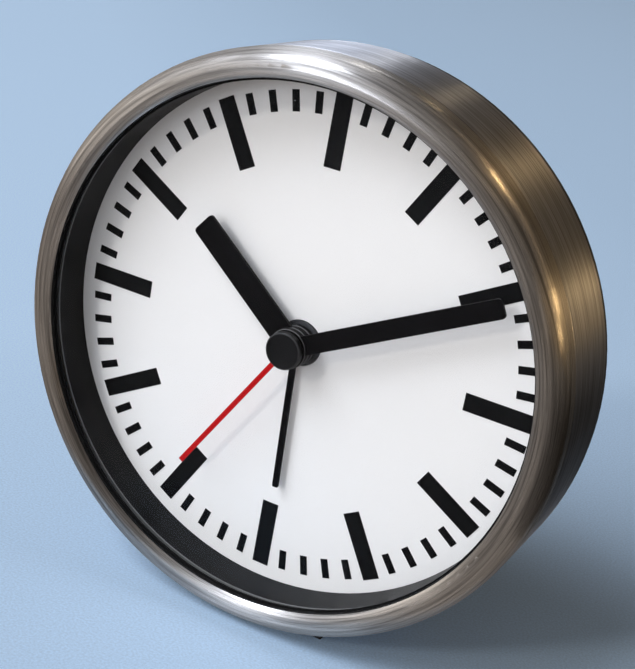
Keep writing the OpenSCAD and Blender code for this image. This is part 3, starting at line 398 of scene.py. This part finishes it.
def brushedSteel(name, look):
    material, tree = startMaterial(name)
    place = addNode(tree, "TexCoord")
    fromAxis = addNode(tree, "VectorMath", {0: place.outputs["Object"], 1: (0, 0, axisHeight)},
                       operation="SUBTRACT")
    part = addNode(tree, "SeparateXYZ", {0: fromAxis.outputs[0]})
    flat = addNode(tree, "CombineXYZ", {"X": part.outputs["X"], "Z": part.outputs["Z"]})
    radius = addNode(tree, "VectorMath", {0: flat.outputs[0]}, operation="LENGTH")
    around = addNode(tree, "VectorMath", {0: flat.outputs[0]}, operation="NORMALIZE")
    turn = addNode(tree, "SeparateXYZ", {0: around.outputs[0]})

    def streaks(spacingMm, streakMm):
        # noise that runs round the axis: fine across the lines, long along them
        across = addNode(tree, "Math", {0: radius.outputs["Value"], 1: perMetre(spacingMm)},
                         operation="MULTIPLY")
        along = caseRadius * perMetre(streakMm)
        x = addNode(tree, "Math", {0: turn.outputs["X"], 1: along}, operation="MULTIPLY")
        z = addNode(tree, "Math", {0: turn.outputs["Z"], 1: along}, operation="MULTIPLY")
        depth = addNode(tree, "Math", {0: part.outputs["Y"], 1: perMetre(spacingMm)},
                        operation="MULTIPLY")
        point = addNode(tree, "CombineXYZ", {"X": across.outputs[0], "Y": x.outputs[0],
                        "Z": z.outputs[0]})
        return addNode(tree, "TexNoise", {"Vector": point.outputs[0], "W": depth.outputs[0],
                       "Scale": 1, "Detail": 1, "Roughness": look["lineFiner"]},
                       noise_dimensions="4D")

    lines = streaks(look["lineMm"], look["streakMm"])
    bands = streaks(look["bandMm"], look["bandStreakMm"])
    dark, light = shades(look["colour"], look["lineTone"])
    both = addNode(tree, "Mix", {"Factor": look["bandShare"], "A": lines.outputs["Fac"],
                   "B": bands.outputs["Fac"]}, data_type="FLOAT")
    tone = addNode(tree, "MapRange", {"Value": both.outputs["Result"],
                   "From Min": look["toneSpan"][0], "From Max": look["toneSpan"][1]})
    colour = addNode(tree, "Mix", {"Factor": tone.outputs["Result"], "A": dark, "B": light},
                     data_type="RGBA")
    bump = addNode(tree, "Bump", {"Height": both.outputs["Result"], "Strength": 1,
                   "Distance": look["lineDepthMm"] * mm})
    tangent = addNode(tree, "Tangent", direction_type="RADIAL", axis="Y")
    lobes = []
    for lobe in (look["polished"], look["rough"]):
        gloss = addNode(tree, "MapRange", {"Value": both.outputs["Result"],
                        "From Min": noiseLow, "From Max": noiseHigh,
                        "To Min": lobe["roughness"] + look["roughnessShift"],
                        "To Max": lobe["roughness"] - look["roughnessShift"]})
        lobes.append(addNode(tree, "BsdfPrincipled", {
            "Base Color": colour.outputs["Result"], "Metallic": 1,
            "Specular Tint": linearColour(look["grazingColour"]),
            "Anisotropic": lobe["anisotropic"], "Anisotropic Rotation": look["glossTurn"],
            "Tangent": tangent.outputs[0], "Roughness": gloss.outputs["Result"],
            "Normal": bump.outputs["Normal"]}).outputs["BSDF"])
    surface = addNode(tree, "MixShader", {0: look["roughShare"], 1: lobes[0],
                      2: lobes[1]}).outputs["Shader"]
    # painted shade: inside this radius the steel is drawn black, as the dark gap at the lip
    if look["paintedShadeRadiusMm"]:
        paint = addNode(tree, "BsdfPrincipled", {
            "Base Color": linearColour(look["paintedShadeColour"]), "Roughness": look["paintedShadeRoughness"],
            "Specular IOR Level": look["paintedShadeShine"], "Normal": bump.outputs["Normal"]})
        inner = addNode(tree, "Math", {0: radius.outputs["Value"],
                        1: look["paintedShadeRadiusMm"] * mm}, operation="LESS_THAN")
        surface = addNode(tree, "MixShader", {0: inner.outputs[0], 1: surface,
                          2: paint.outputs["BSDF"]}).outputs["Shader"]
    addNode(tree, "OutputMaterial", {"Surface": surface})
    return material


dress(brushedSteel("stainlessSteelFineBrushed", bezelSteelLook), "bezel")
dress(brushedSteel("stainlessSteelBrushedShell", drumSteelLook), "case_drum")

print("stage: glass, gasket and ring")

# Float glass, polished: clear, so that only a thin shine shows over the dial
glassLook = {"colour": "#fdfdfd", "ior": 1.12, "shine": 0.5}


def clearGlass(name, look):
    # shadows and diffuse light pass straight through it, so that light isn't counted twice
    material, tree = startMaterial(name)
    glass = addNode(tree, "BsdfPrincipled", {
        "Base Color": linearColour(look["colour"]), "Roughness": 0, "IOR": look["ior"],
        "Transmission Weight": 1, "Specular IOR Level": look["shine"]})
    passing = addNode(tree, "BsdfTransparent", {"Color": linearColour(look["colour"])})
    path = addNode(tree, "LightPath")
    straight = addNode(tree, "Math", {0: path.outputs["Is Shadow Ray"],
                       1: path.outputs["Is Diffuse Ray"]}, operation="MAXIMUM")
    both = addNode(tree, "MixShader", {0: straight.outputs[0], 1: glass.outputs["BSDF"],
                   2: passing.outputs["BSDF"]})
    addNode(tree, "OutputMaterial", {"Surface": both.outputs["Shader"]})
    return material


dress(clearGlass("floatGlassPolished", glassLook), "lens")


finerShare = 0.55         # how strongly each finer level of the grain shows


def grainedSurface(name, look):
    # paint, plastic, rubber or dull metal: one colour with a grain in its tone, gloss and relief
    material, tree = startMaterial(name)
    place = addNode(tree, "TexCoord")
    grain = addNode(tree, "TexNoise", {"Vector": place.outputs["Object"],
                    "Scale": perMetre(look["grainMm"]), "Detail": 3, "Roughness": finerShare})
    cloud = addNode(tree, "TexNoise", {"Vector": place.outputs["Object"],
                    "Scale": perMetre(look["cloudMm"]), "Detail": 2})
    dark, light = shades(look["colour"], look["toneShare"])
    mixed = addNode(tree, "Math", {0: grain.outputs["Fac"], 1: cloud.outputs["Fac"]},
                    operation="ADD")
    tone = addNode(tree, "MapRange", {"Value": mixed.outputs[0], "From Min": pairLow,
                   "From Max": pairHigh})
    colour = addNode(tree, "Mix", {"Factor": tone.outputs["Result"], "A": dark, "B": light},
                     data_type="RGBA")
    gloss = addNode(tree, "MapRange", {"Value": cloud.outputs["Fac"], "From Min": noiseLow,
                    "From Max": noiseHigh, "To Min": look["roughness"] - look["glossShift"],
                    "To Max": look["roughness"] + look["glossShift"]})
    bump = addNode(tree, "Bump", {"Height": grain.outputs["Fac"], "Strength": 1,
                   "Distance": look["grainDepthMm"] * mm})
    painted = colour
    if "paintedEdgeHighlightColour" in look:
        # painted highlight: the edge between face and side, which faces neither way fully, is
        # drawn paler
        facing = addNode(tree, "NewGeometry")
        lean = addNode(tree, "SeparateXYZ", {0: facing.outputs["Normal"]})
        front = addNode(tree, "Math", {0: lean.outputs["Y"]}, operation="ABSOLUTE")
        edge = addNode(tree, "Math", {0: front.outputs[0], 1: look["edgeLean"],
                       2: look["edgeLeanSpan"]}, operation="COMPARE")
        painted = addNode(tree, "Mix", {
            "Factor": edge.outputs[0], "A": colour.outputs["Result"],
            "B": linearColour(look["paintedEdgeHighlightColour"])}, data_type="RGBA")
    if "paintedHighlightEnd" in look:
        # painted highlight: a paler band along the front edge, against the glass
        depth = addNode(tree, "SeparateXYZ", {0: place.outputs["Object"]})
        paintedHighlightMask = addNode(tree, "Math", {0: depth.outputs["Y"], 1: look["paintedHighlightEnd"]},
                      operation="LESS_THAN")
        painted = addNode(tree, "Mix", {
            "Factor": paintedHighlightMask.outputs[0], "A": colour.outputs["Result"],
            "B": linearColour(look["paintedHighlightColour"])}, data_type="RGBA")
    shader = addNode(tree, "BsdfPrincipled", {
        "Base Color": painted.outputs["Result"], "Roughness": gloss.outputs["Result"],
        "IOR": look["ior"], "Specular IOR Level": look.get("shine", 0.5),
        "Metallic": look.get("metallic", 0), "Normal": bump.outputs["Normal"]})
    addNode(tree, "OutputMaterial", {"Surface": shader.outputs["BSDF"]})
    return material


# Silicone rubber, moulded: black, so that the glass seems to stand in a dark groove
gasketLook = {"colour": "#0d0d0e", "grainMm": 0.2, "cloudMm": 3, "grainDepthMm": 0.006,
              "toneShare": 0.15, "roughness": 0.75, "glossShift": 0.05, "ior": 1.41, "shine": 0.2}
dress(grainedSurface("siliconeRubberMoulded", gasketLook), "gasket")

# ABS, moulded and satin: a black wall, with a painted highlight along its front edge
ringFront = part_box("dial_ring")[0][1]
ringLook = {"colour": "#0e0f11", "paintedHighlightColour": "#77797c", "paintedHighlightEnd": ringFront + 0.3 * mm,
            "grainMm": 0.25, "cloudMm": 6, "grainDepthMm": 0.004, "toneShare": 0.1,
            "roughness": 0.42, "glossShift": 0.06, "ior": 1.5, "shine": 0.1}
dress(grainedSurface("absMouldedSatin", ringLook), "dial_ring")

print("stage: dial and marks")

# Aluminium sheet, lacquered matt white: an even pale face with a faint tooth
dialLook = {"colour": "#eff0f2", "grainMm": 0.3, "cloudMm": 14, "grainDepthMm": 0.003,
            "toneShare": 0.012, "roughness": 0.55, "glossShift": 0.04, "ior": 1.5}
dress(grainedSurface("aluminiumLacqueredWhite", dialLook), "dial")

# Screen printed ink: flat black with a slight tooth
inkLook = {"colour": "#0a0b0d", "grainMm": 0.18, "cloudMm": 4, "grainDepthMm": 0.003,
           "toneShare": 0.12, "roughness": 0.5, "glossShift": 0.06, "ior": 1.5, "shine": 0.04}
dress(grainedSurface("inkScreenPrinted", inkLook), "hour_marks", "minute_marks")

print("stage: hands and cap")

# Brass sheet, lacquered satin black: dark, with a painted highlight along the edges
handLook = {"colour": "#060608", "paintedEdgeHighlightColour": "#6d6d70", "edgeLean": 0.6,
            "edgeLeanSpan": 0.33, "grainMm": 0.15, "cloudMm": 5, "grainDepthMm": 0.003,
            "toneShare": 0.15, "roughness": 0.42, "glossShift": 0.05, "ior": 1.5, "shine": 0.04}
dress(grainedSurface("brassLacqueredBlack", handLook), "hour_hand", "minute_hand", "alarm_hand")

# ABS, moulded: the cap is a little softer in its shine and in its painted edge highlight than the
# hands
capLook = dict(handLook, colour="#0c0d0f", paintedEdgeHighlightColour="#3a3b3d", grainMm=0.2, shine=0.08)
dress(grainedSurface("absMouldedCap", capLook), "hand_cap")


chamferLook = {"widthMm": 0.13, "joinMm": 0.001, "edgeDegrees": 50, "crispDegrees": 30}


def softenEdges(look, *names):
    # a narrow chamfer on the edges, as stamping and lacquer leave it; the mesh comes with its
    # faces apart at each edge, so they are joined first, and shaded apart again afterwards
    for name in names:
        joined = nodes[name].modifiers.new("joined", "WELD")
        joined.merge_threshold = look["joinMm"] * mm
        bevel = nodes[name].modifiers.new("chamfer", "BEVEL")
        bevel.width = look["widthMm"] * mm
        bevel.segments = 1
        bevel.limit_method = "ANGLE"
        bevel.angle_limit = math.radians(look["edgeDegrees"])
        crisp = nodes[name].modifiers.new("crisp", "EDGE_SPLIT")
        crisp.split_angle = math.radians(look["crispDegrees"])


softenEdges(chamferLook, "hour_hand", "minute_hand", "hand_cap")

# Aluminium sheet, lacquered signal red
secondLook = {"colour": "#b30c11", "grainMm": 0.15, "cloudMm": 5, "grainDepthMm": 0.002,
              "toneShare": 0.05, "roughness": 0.35, "glossShift": 0.04, "ior": 1.5, "shine": 0.12}
dress(grainedSurface("aluminiumLacqueredRed", secondLook), "second_hand")

print("stage: back and feet")

# ABS, moulded in a spark-eroded tool: black with a fine matt grain
coverLook = {"colour": "#2b2c2f", "grainMm": 0.35, "cloudMm": 12, "grainDepthMm": 0.02,
             "toneShare": 0.12, "roughness": 0.58, "glossShift": 0.06, "ior": 1.5}
dress(grainedSurface("absSparkGrain", coverLook), "back_cover", "battery_door")
dress(grainedSurface("absMouldedInner", dict(coverLook, colour="#323337", roughness=0.5)),
      "dial_carrier", "movement_front", "train_plate", "movement_back", "buzzer")

knobLook = dict(coverLook, colour="#26272a", roughness=0.42, grainDepthMm=0.008)
dress(grainedSurface("absKnobSatin", knobLook), "time_knob", "alarm_knob")

# Acetal, moulded: milky white and a little waxy
acetalLook = {"colour": "#e9e8e1", "grainMm": 0.3, "cloudMm": 5, "grainDepthMm": 0.003,
              "toneShare": 0.03, "roughness": 0.36, "glossShift": 0.05, "ior": 1.48}
dress(grainedSurface("acetalMoulded", acetalLook), "alarm_switch", "alarm_wheel", "hour_wheel",
      "motion_wheel", "second_wheel", "intermediate_wheel", "rotor_pinion", "coil_bobbin",
      "time_shaft", "alarm_shaft")

# Nitrile rubber: black, matt, with a dry bloom
footLook = {"colour": "#202020", "grainMm": 0.4, "cloudMm": 5, "grainDepthMm": 0.012,
            "toneShare": 0.15, "roughness": 0.82, "glossShift": 0.05, "ior": 1.52}
dress(grainedSurface("nitrileRubberMoulded", footLook), "rubber_feet")

# Steel, blackened in hot oil: dark metal with a soft sheen
screwLook = {"colour": "#4a4a4c", "grainMm": 0.2, "cloudMm": 2, "grainDepthMm": 0.003,
             "toneShare": 0.2, "roughness": 0.4, "glossShift": 0.08, "ior": 1.5, "metallic": 1}
dress(grainedSurface("steelBlackened", screwLook), "cover_screws")

print("stage: works")


def patternedSurface(name, look, pattern):
    # two tones and a relief that follow a pattern, with a little noise; the pattern function
    # adds its nodes to the tree and gives a socket with values from 0 to 1
    material, tree = startMaterial(name)
    place = addNode(tree, "TexCoord")
    value = pattern(tree, place, look)
    noise = addNode(tree, "TexNoise", {"Vector": place.outputs["Object"],
                    "Scale": perMetre(look["grainMm"]), "Detail": 2})
    both = addNode(tree, "Mix", {"Factor": look["noiseShare"], "A": value,
                   "B": noise.outputs["Fac"]}, data_type="FLOAT")
    colour = addNode(tree, "Mix", {
        "Factor": both.outputs["Result"], "A": linearColour(look["darkColour"]),
        "B": linearColour(look["colour"])}, data_type="RGBA")
    gloss = addNode(tree, "MapRange", {"Value": noise.outputs["Fac"], "From Min": noiseLow,
                    "From Max": noiseHigh, "To Min": look["roughness"] - look["glossShift"],
                    "To Max": look["roughness"] + look["glossShift"]})
    bump = addNode(tree, "Bump", {"Height": both.outputs["Result"], "Strength": 1,
                   "Distance": look["depthMm"] * mm})
    shader = addNode(tree, "BsdfPrincipled", {
        "Base Color": colour.outputs["Result"], "Metallic": look["metallic"],
        "Roughness": gloss.outputs["Result"], "Normal": bump.outputs["Normal"]})
    addNode(tree, "OutputMaterial", {"Surface": shader.outputs["BSDF"]})
    return material


def fromMiddle(tree, place):
    # coordinates from 0 in the middle of the piece to 0.5 at its sides
    return addNode(tree, "VectorMath", {0: place.outputs["Generated"], 1: (0.5, 0.5, 0.5)},
                   operation="SUBTRACT").outputs[0]


def turnedRings(tree, place, look):
    # fine rings round the middle of the piece
    return addNode(tree, "TexWave", {"Vector": fromMiddle(tree, place), "Scale": look["rings"],
                   "Distortion": look["wobble"], "Detail": 1}, wave_type="RINGS",
                   rings_direction="Y").outputs["Fac"]


def rolledLines(tree, place, look):
    # lines along the sheet, as the rolling mill leaves them
    stretched = addNode(tree, "VectorMath", {0: place.outputs["Object"],
                        1: (perMetre(look["streakMm"]), perMetre(look["lineMm"]),
                            perMetre(look["lineMm"]))}, operation="MULTIPLY")
    return addNode(tree, "TexNoise", {"Vector": stretched.outputs[0], "Scale": 1,
                   "Detail": 2}).outputs["Fac"]


def woundTurns(tree, place, look):
    # turns of wire side by side along the coil
    return addNode(tree, "TexWave", {"Vector": place.outputs["Object"],
                   "Scale": waveScale(look["turnMm"]), "Distortion": look["wobble"],
                   "Detail": 1}, wave_type="BANDS", bands_direction="X").outputs["Fac"]


def wovenCloth(tree, place, look):
    # the glass cloth shows through the lacquer
    across, up = (addNode(tree, "TexWave", {"Vector": place.outputs["Object"],
                          "Scale": waveScale(look["threadMm"]), "Distortion": look["wobble"]},
                          wave_type="BANDS", bands_direction=way) for way in "XZ")
    return addNode(tree, "Math", {0: across.outputs["Fac"], 1: up.outputs["Fac"]},
                   operation="MULTIPLY").outputs[0]


def filmBands(tree, place, look):
    # the film's two plain fields along the cell, with a sharp joint
    part = addNode(tree, "SeparateXYZ", {0: place.outputs["Generated"]})
    return addNode(tree, "MapRange", {"Value": part.outputs["X"],
                   "From Min": look["joint"] - look["jointBlur"],
                   "From Max": look["joint"] + look["jointBlur"]}).outputs["Result"]


# what a patterned surface has where its own look doesn't say otherwise
patternedLook = {"grainMm": 0.15, "noiseShare": 0.3, "depthMm": 0.004, "roughness": 0.28,
                 "glossShift": 0.06, "metallic": 1}

# Brass, stamped and turned: yellow, with fine rings that catch the light in a cross
brassLook = dict(patternedLook, colour="#d0aa62", darkColour="#a8823f", rings=7, wobble=0.6)
dress(patternedSurface("brassTurned", brassLook, turnedRings), "cannon_pinion", "centre_wheel",
      "third_wheel")

# Steel, zinc plated: bright, slightly blue and cloudy
zincLook = dict(screwLook, colour="#bcc0c4", roughness=0.32)
dress(grainedSurface("steelZincPlated", zincLook), "movement_screws", "ear_screws")

# Silicon steel sheet, stamped: grey and satin, with the mill's lines
ironLook = dict(patternedLook, colour="#97989a", darkColour="#6f7072", lineMm=0.12,
                streakMm=3, noiseShare=0.2, roughness=0.42)
dress(patternedSurface("siliconSteelStamped", ironLook, rolledLines), "stator", "coil_core")

# Ferrite, sintered: dull dark grey with pores
magnetLook = dict(screwLook, colour="#3a3a3c", roughness=0.7, metallic=0.4, grainMm=0.1,
                  grainDepthMm=0.01)
dress(grainedSurface("ferriteSintered", magnetLook), "rotor_magnet")

# Copper wire, enamelled: reddish turns side by side. The real wire is 0.05 mm thick, which is
# too fine to show, so that the turns are drawn 0.3 mm apart.
copperLook = dict(patternedLook, colour="#c06a34", darkColour="#6b2f14", turnMm=0.3,
                  wobble=0.3, depthMm=0.05, noiseShare=0.15, roughness=0.3)
dress(patternedSurface("copperWireEnamelled", copperLook, woundTurns), "coil_winding")

# Glass laminate with green solder lacquer: glossy, with the cloth's weave faintly in it
boardLook = dict(patternedLook, colour="#22643f", darkColour="#174a2d", threadMm=0.6,
                 wobble=0.4, depthMm=0.01, roughness=0.3, metallic=0)
dress(patternedSurface("laminateGreenLacquer", boardLook, wovenCloth), "circuit_board")

# Epoxy resin, cast over the chip: a glossy black drop
dress(grainedSurface("epoxyCastBlack", dict(coverLook, roughness=0.25)), "driver_chip")

# Steel can and springs, nickel plated: bright and a little warm, with the mill's lines
nickelLook = dict(ironLook, colour="#cfccc4", darkColour="#b3afa6", roughness=0.24)
dress(patternedSurface("steelNickelPlated", nickelLook, rolledLines), "quartz_crystal",
      "plus_contact", "minus_contact")

# Battery can in printed film: a plain grey-blue field and a plain pale one, satin
batteryLook = dict(patternedLook, colour="#c9cdd0", darkColour="#4b6076", joint=0.72,
                   jointBlur=0.004, depthMm=0.002, noiseShare=0.06, roughness=0.3, metallic=0.5)
dress(patternedSurface("steelCanPrintedFilm", batteryLook, filmBands), "battery")
